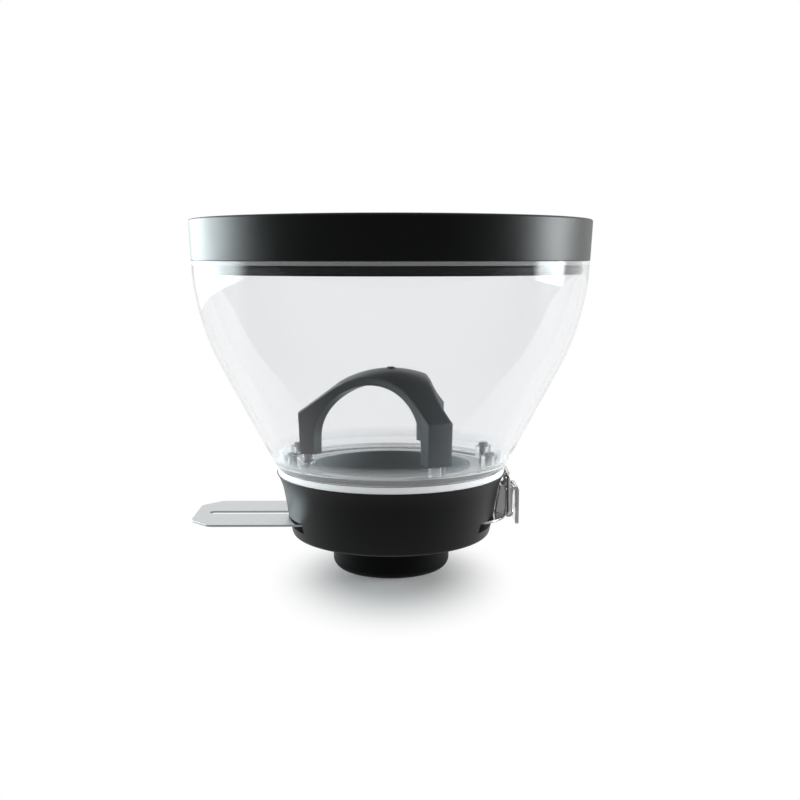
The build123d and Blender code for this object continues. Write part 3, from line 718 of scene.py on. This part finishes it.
@dataclass
class Lid(SubAssembly):
    """Lid with a drafted rim, a shallow dished top and a plug skirt, and the seal on the skirt.

    Sizes are in metres. The draft is how much the rim narrows down to its foot, at the rim's z, and
    the edges are the setbacks of the rounded corners.
    """

    body: str = "lid"
    draft: float = 0.001
    wall: float = 0.0024
    dish_radius: float = 0.091
    dish_depth: float = 0.0014
    rim_z: float = 0.15695
    skirt_radius: float = 0.095
    top_edge: float = 0.0012
    small_edge: float = 0.0003
    groove_edge: float = 0.0001
    groove_depth: float = 0.0008
    seal_edge: float = 0.0005

    def cap_outline(self) -> np.ndarray:
        """Works out the cap's section from its outer box and its walls.

        Returns:
            Points as radius and height, from the axis on top to the axis below.
        """
        low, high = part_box("lid")
        seal_low, seal_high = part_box("lid_seal")
        top_radius, top, skirt_low = high[0], high[2], low[2]
        rim_radius = top_radius - self.draft
        dish = top - self.dish_depth
        under = dish - self.wall
        groove = self.skirt_radius - self.groove_depth
        skirt_inner = self.skirt_radius - self.wall
        # Each row is radius, height and the setback of the corner's rounding.
        section = np.array(
            [
                (0.0, dish, 0.0),
                (self.dish_radius, dish, self.small_edge),
                (self.dish_radius + self.dish_depth, top, self.small_edge),
                (top_radius, top, self.top_edge),
                (rim_radius, self.rim_z, self.small_edge),
                (rim_radius - self.wall, self.rim_z, self.small_edge),
                (top_radius - self.wall, under, self.small_edge),
                (self.skirt_radius, under, self.small_edge),
                (self.skirt_radius, seal_high[2], self.groove_edge),
                (groove, seal_high[2], self.groove_edge),
                (groove, seal_low[2], self.groove_edge),
                (self.skirt_radius, seal_low[2], self.groove_edge),
                (self.skirt_radius, skirt_low, self.small_edge),
                (skirt_inner, skirt_low, self.small_edge),
                (skirt_inner, under, self.small_edge),
                (0.0, under, 0.0),
            ]
        )
        return rounded(section[:, :2], section[1:-1, 2])

    def seal_outline(self) -> np.ndarray:
        """Works out the seal's section, a band with rounded corners.

        Returns:
            Points as radius and height, round the section.
        """
        low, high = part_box("lid_seal")
        outer, inner = high[0], self.skirt_radius - self.groove_depth
        middle = (inner + outer) / 2
        corners = np.array(
            [
                (middle, high[2]),
                (outer, high[2]),
                (outer, low[2]),
                (inner, low[2]),
                (inner, high[2]),
                (middle, high[2]),
            ]
        )
        return rounded(corners, np.full(len(corners) - 2, self.seal_edge))

    def build(self) -> None:
        """Turns and dresses the cap and the seal."""
        self.dress("lid", lathe(self.cap_outline()), Finish.LID, "lid_black_abs")
        self.dress("lid_seal", lathe(self.seal_outline()), Finish.SEAL, "black_silicone")


@dataclass
class Bowl(SubAssembly):
    """Clear bowl, and the grey liner in its throat."""

    body: str = "hopper"
    air_gap: float = 0.00005
    face_depth: float = 0.00001

    def raised(self, skin: Skin) -> Skin:
        """Raises the bowl's lowest face a hair, so that air lies under it and it mirrors inside.

        Every vertex within the face's depth of the lowest height moves up by the air gap.

        Args:
            skin: Vertices and triangles.

        Returns:
            The skin with its lowest face raised.
        """
        vertices, triangles = skin
        lowest = vertices[:, 2] < vertices[:, 2].min() + self.face_depth
        lift = np.zeros_like(vertices)
        lift[:, 2] = np.where(lowest, self.air_gap, 0.0)
        return vertices + lift, triangles

    def build(self) -> None:
        """Dresses the bowl and the liner."""
        skin = self.raised(cad_skin("hopper_bowl"))
        self.dress("hopper_bowl", skin, Finish.BOWL, "clear_polycarbonate")
        # The liner's finish is painted light: a paler copy of the guard's grey polyamide.
        self.dress_cad({"throat_liner": (Finish.LINER, "grey_polyamide")})


@dataclass
class Guard(SubAssembly):
    """Three-legged finger guard and its screws."""

    body: str = "hopper"
    crease: float = 20.0

    def build(self) -> None:
        """Dresses the guard and its screws."""
        self.dress_cad(
            {
                "finger_guard": (Finish.GUARD, "grey_polyamide"),
                "guard_screws": (Finish.SCREW, "stainless_fastener"),
            }
        )


@dataclass
class Base(SubAssembly):
    """Collar, nozzle and the guide that holds the gate, with what fastens them."""

    body: str = "hopper"

    def build(self) -> None:
        """Dresses the collar's stack of parts."""
        self.dress_cad(
            {
                "collar": (Finish.BASE, "base_black_abs"),
                # The nozzle's finish is painted shade: a darker copy of the collar's black ABS.
                "nozzle": (Finish.SPIGOT, "base_black_abs"),
                "gate_bed": (Finish.GUIDE, "guide_black_acetal"),
                "gate_guide": (Finish.GUIDE, "guide_black_acetal"),
                "guide_screws": (Finish.SCREW, "stainless_fastener"),
                "gate_stop_pin": (Finish.SCREW, "stainless_fastener"),
                "gate_springs": (Finish.SPRING, "spring_steel"),
            }
        )


@dataclass
class Gate(SubAssembly):
    """Brushed slide gate."""

    body: str = "gate"

    def build(self) -> None:
        """Dresses the gate."""
        self.dress_cad({"slide_gate": (Finish.SHEET, "stainless_sheet")})


@dataclass
class LatchPlates(SubAssembly):
    """The latch's base with its foot screws and rivets, and the hooks under the bowl."""

    body: str = "hopper"
    crease: float = 30.0

    def build(self) -> None:
        """Dresses the plates that stay still, and what fastens them."""
        self.dress_cad(
            {
                "keeper_plate": (Finish.PLATE, "plated_steel"),
                "keeper_screws": (Finish.SCREW, "stainless_fastener"),
                "rear_hook": (Finish.PLATE, "plated_steel"),
                "rear_hook_screws": (Finish.SCREW, "stainless_fastener"),
                "latch_base": (Finish.PLATE, "plated_steel"),
                "latch_pivot_rivets": (Finish.PLATE, "plated_steel"),
                "latch_foot_screws": (Finish.SCREW, "stainless_fastener"),
            }
        )


@dataclass
class Lever(SubAssembly):
    """The latch's strap handle."""

    body: str = "lever"
    crease: float = 30.0

    def build(self) -> None:
        """Dresses the handle."""
        self.dress_cad({"latch_lever": (Finish.PLATE, "plated_steel")})


@dataclass
class Bail(SubAssembly):
    """The latch's wire loop."""

    body: str = "bail"
    crease: float = 30.0

    def build(self) -> None:
        """Dresses the loop."""
        self.dress_cad({"latch_bail": (Finish.PLATE, "plated_steel")})


# ---------------------------------------------------------------- studio
@dataclass(frozen=True)
class SoftBox:
    """A rectangular diffused lamp aimed at a point, which fades towards its edges.

    Places and sizes are in metres and the power is in watts. The size is given between the lines at
    half brightness, and the power for an even lamp of that size. The fade is the share of each half
    side over which the light goes down to nothing.
    """

    name: str
    place: tuple[float, float, float]
    aim: tuple[float, float, float]
    size: tuple[float, float]
    power: float
    colour: str
    fade: float = 0.5

    def add_fade(self, tree: bpy.types.NodeTree, full: tuple[float, float]) -> None:
        """Fades the lamp's light over the outer part of each side.

        The lamp's own coordinates run from its middle.

        Args:
            tree: The lamp's node tree.
            full: The lamp's full width and height.
        """
        place = add_node(tree, "ShaderNodeTexCoord").outputs["Object"]
        across = add_node(tree, "ShaderNodeSeparateXYZ", None, {"Vector": place})
        levels = []
        for axis, length in zip("XY", full):
            away = add_node(tree, "ShaderNodeMath", {"operation": "ABSOLUTE"}, {0: across.outputs[axis]})
            level = add_node(
                tree,
                "ShaderNodeMapRange",
                {
                    "interpolation_type": "SMOOTHSTEP",
                    "From Min": length / 2 * (1.0 - self.fade),
                    "From Max": length / 2,
                    "To Min": 1.0,
                    "To Max": 0.0,
                },
                {"Value": away},
            )
            levels.append(level)
        strength = add_node(
            tree, "ShaderNodeMath", {"operation": "MULTIPLY"}, {0: levels[0], 1: levels[1]}
        )
        light = add_node(
            tree, "ShaderNodeEmission", {"Color": linear(self.colour)}, {"Strength": strength}
        )
        add_node(tree, "ShaderNodeOutputLight", None, {"Surface": light})

    def build(self) -> None:
        """Adds the lamp, which isn't seen straight or through clear plastic."""
        data = bpy.data.lights.new(self.name, "AREA")
        data.shape = "RECTANGLE"
        spread = 1.0 / (1.0 - self.fade / 2)
        data.size, data.size_y = (length * spread for length in self.size)
        data.energy = self.power * spread**2
        data.use_nodes = True
        data.node_tree.nodes.clear()
        self.add_fade(data.node_tree, (data.size, data.size_y))
        lamp = bpy.data.objects.new(self.name, data)
        bpy.context.scene.collection.objects.link(lamp)
        lamp.location = self.place
        # A lamp shines along its own -Z, so its +Z points from the aim back to the lamp.
        back = np.array(self.place) - np.array(self.aim)
        turn = math.atan2(back[0], -back[1])
        tilt = math.atan2(math.hypot(back[0], back[1]), back[2])
        lamp.rotation_euler = (tilt, 0.0, turn)
        lamp.visible_camera = False
        lamp.visible_transmission = False


@dataclass(frozen=True)
class SweepPaper:
    """White paper under and behind the hopper, which shows white and keeps the shadow by its foot.

    Sizes are in metres. The glow is the share of plain white that rays see. It grows from the near
    glow to 1 between two radii of an oval round the foot. In reflections, the paper in front of the
    hopper is darker than behind.
    """

    name: str = "sweep_white_paper"
    side: float = 3.0
    front: float = -0.62
    back: float = 3.0
    colour: str = "F4F4F4"
    roughness: float = 0.9
    specular: float = 0.1
    near_glow: float = 0.15
    glow_start: float = 0.025
    glow_end: float = 0.095
    oval_shift: float = 0.02
    oval_squeeze: float = 1.5
    front_gloss: float = 0.3
    front_start: float = -0.12
    front_end: float = 0.06

    def material(self) -> bpy.types.Material:
        """Builds the paper.

        Returns:
            The material.
        """
        made, tree = new_tree(self.name)
        place = add_node(tree, "ShaderNodeTexCoord").outputs["Object"]
        oval = add_node(
            tree,
            "ShaderNodeMapping",
            {"Location": (0.0, self.oval_shift, 0.0), "Scale": (self.oval_squeeze, 1.0, 1.0)},
            {"Vector": place},
        )
        reach = add_node(tree, "ShaderNodeVectorMath", {"operation": "LENGTH"}, {0: oval})
        glow = add_node(
            tree,
            "ShaderNodeMapRange",
            {
                "interpolation_type": "SMOOTHSTEP",
                "From Min": self.glow_start,
                "From Max": self.glow_end,
                "To Min": self.near_glow,
                "To Max": 1.0,
            },
            {"Value": reach.outputs["Value"]},
        )
        depth = add_node(tree, "ShaderNodeSeparateXYZ", None, {"Vector": place}).outputs["Y"]
        front_light = add_node(
            tree,
            "ShaderNodeMapRange",
            {
                "From Min": self.front_start,
                "From Max": self.front_end,
                "To Min": self.front_gloss,
                "To Max": 1.0,
            },
            {"Value": depth},
        )
        front_share = add_node(
            tree,
            "ShaderNodeMapRange",
            {"From Min": self.front_start, "From Max": self.front_end, "To Min": 1.0, "To Max": 0.0},
            {"Value": depth},
        )
        straight = clear_rays(tree)
        turned = add_node(tree, "ShaderNodeMath", {"operation": "LESS_THAN", 1: BELOW_ONE}, {0: straight})
        mirrored = add_node(tree, "ShaderNodeMath", {"operation": "MAXIMUM"}, {0: front_share, 1: glow})
        mirrored = add_node(
            tree, "ShaderNodeMath", {"operation": "MULTIPLY"}, {0: mirrored, 1: seen_rays(tree)}
        )
        mirrored = add_node(tree, "ShaderNodeMath", {"operation": "MULTIPLY"}, {0: mirrored, 1: turned})
        shown = add_node(tree, "ShaderNodeMath", {"operation": "MULTIPLY"}, {0: glow, 1: straight})
        amount = add_node(tree, "ShaderNodeMath", {"operation": "MAXIMUM"}, {0: mirrored, 1: shown})
        level = add_node(tree, "ShaderNodeMath", {"operation": "MAXIMUM"}, {0: front_light, 1: straight})
        paper = add_node(
            tree,
            "ShaderNodeBsdfPrincipled",
            {
                "Base Color": linear(self.colour),
                "Roughness": self.roughness,
                "Specular IOR Level": self.specular,
            },
        )
        white = add_node(tree, "ShaderNodeEmission", {"Color": WHITE}, {"Strength": level})
        surface = add_node(tree, "ShaderNodeMixShader", None, {"Fac": amount, 1: paper, 2: white})
        add_node(tree, "ShaderNodeOutputMaterial", None, {"Surface": surface})
        return made

    def build(self) -> None:
        """Lays the paper."""
        corners = np.array(
            [
                (-self.side, self.front, 0.0),
                (self.side, self.front, 0.0),
                (self.side, self.back, 0.0),
                (-self.side, self.back, 0.0),
            ]
        )
        floor = mesh_object("floor", (corners, np.array([(0, 1, 2), (0, 2, 3)])), crease=30.0)
        floor.data.materials.append(self.material())


@dataclass(frozen=True)
class Room:
    """The room round the hopper: white where it is seen, dim in front and bright behind elsewhere.

    The level grows from dim to bright between two parts of the way back, and for gloss also from
    nothing to the ceiling's level between two parts of the way up.
    """

    dim: float = 0.1
    bright: float = 0.9
    back_start: float = -0.15
    back_end: float = 0.55
    ceiling: float = 0.6
    up_start: float = 0.1
    up_end: float = 0.6

    def build(self) -> None:
        """Adds the world."""
        world = bpy.data.worlds.new("studio")
        world.use_nodes = True
        world.node_tree.nodes.clear()
        bpy.context.scene.world = world
        tree = world.node_tree
        way = add_node(
            tree,
            "ShaderNodeSeparateXYZ",
            None,
            {"Vector": add_node(tree, "ShaderNodeTexCoord").outputs["Generated"]},
        ).outputs
        depth = add_node(
            tree,
            "ShaderNodeMapRange",
            {
                "From Min": self.back_start,
                "From Max": self.back_end,
                "To Min": self.dim,
                "To Max": self.bright,
            },
            {"Value": way["Y"]},
        )
        ceiling = add_node(
            tree,
            "ShaderNodeMapRange",
            {"From Min": self.up_start, "From Max": self.up_end, "To Min": 0.0, "To Max": self.ceiling},
            {"Value": way["Z"]},
        )
        path = add_node(tree, "ShaderNodeLightPath").outputs
        overhead = add_node(
            tree, "ShaderNodeMath", {"operation": "MULTIPLY"}, {0: ceiling, 1: path["Is Glossy Ray"]}
        )
        level = add_node(tree, "ShaderNodeMath", {"operation": "MAXIMUM"}, {0: depth, 1: overhead})
        around = add_node(tree, "ShaderNodeBackground", {"Color": WHITE}, {"Strength": level})
        seen = add_node(tree, "ShaderNodeBackground", {"Color": WHITE, "Strength": 1.0})
        surface = add_node(
            tree, "ShaderNodeMixShader", None, {"Fac": clear_rays(tree), 1: around, 2: seen}
        )
        add_node(tree, "ShaderNodeOutputWorld", None, {"Surface": surface})


@dataclass(frozen=True)
class Camera:
    """The camera, pitched down and yawed to the right by so many degrees."""

    place: tuple[float, float, float]
    pitch: float
    yaw: float
    lens: float
    sensor_width: float = 36.0
    clip_start: float = 0.01

    def build(self) -> None:
        """Adds the camera and makes it the scene's."""
        data = bpy.data.cameras.new("camera")
        data.lens = self.lens
        data.sensor_width = self.sensor_width
        data.clip_start = self.clip_start
        camera = bpy.data.objects.new("camera", data)
        bpy.context.scene.collection.objects.link(camera)
        camera.location = self.place
        camera.rotation_euler = (math.radians(90.0 - self.pitch), 0.0, math.radians(-self.yaw))
        bpy.context.scene.camera = camera


@dataclass(frozen=True)
class Studio:
    """White sweep, room, soft boxes and camera."""

    paper: SweepPaper
    room: Room
    boxes: tuple[SoftBox, ...]
    camera: Camera

    def build(self) -> None:
        """Adds everything round the hopper."""
        for part in (self.paper, self.room, *self.boxes, self.camera):
            part.build()
        bpy.context.scene.view_settings.view_transform = "Standard"


STUDIO = Studio(
    paper=SweepPaper(),
    room=Room(),
    boxes=(
        SoftBox(
            "softbox_left",
            place=(-0.83, 0.37, 0.22),
            aim=(0.0, 0.0, 0.16),
            size=(0.95, 0.4),
            power=11.4,
            colour="E8F5F8",
        ),
        SoftBox(
            "softbox_right",
            place=(0.98, 0.1, 0.22),
            aim=(0.0, 0.0, 0.16),
            size=(0.42, 0.4),
            power=7.4,
            colour="F2F8FA",
        ),
        SoftBox(
            "overhead",
            place=(0.0, 0.6, 1.1),
            aim=(0.0, 0.0, 0.1),
            size=(1.2, 0.6),
            power=3.0,
            colour="FFFFFF",
        ),
    ),
    camera=Camera(place=(0.0, -0.5310757, 0.1586823), pitch=7.785959, yaw=0.498553, lens=46.993),
)


def main() -> None:
    """Builds the looks and the studio."""
    logging.basicConfig(level=logging.INFO, format="%(name)s %(message)s")
    for group in (Lid(), Bowl(), Guard(), Base(), Gate(), LatchPlates(), Lever(), Bail()):
        group.build()
    STUDIO.build()


if __name__ == "__main__":
    main()
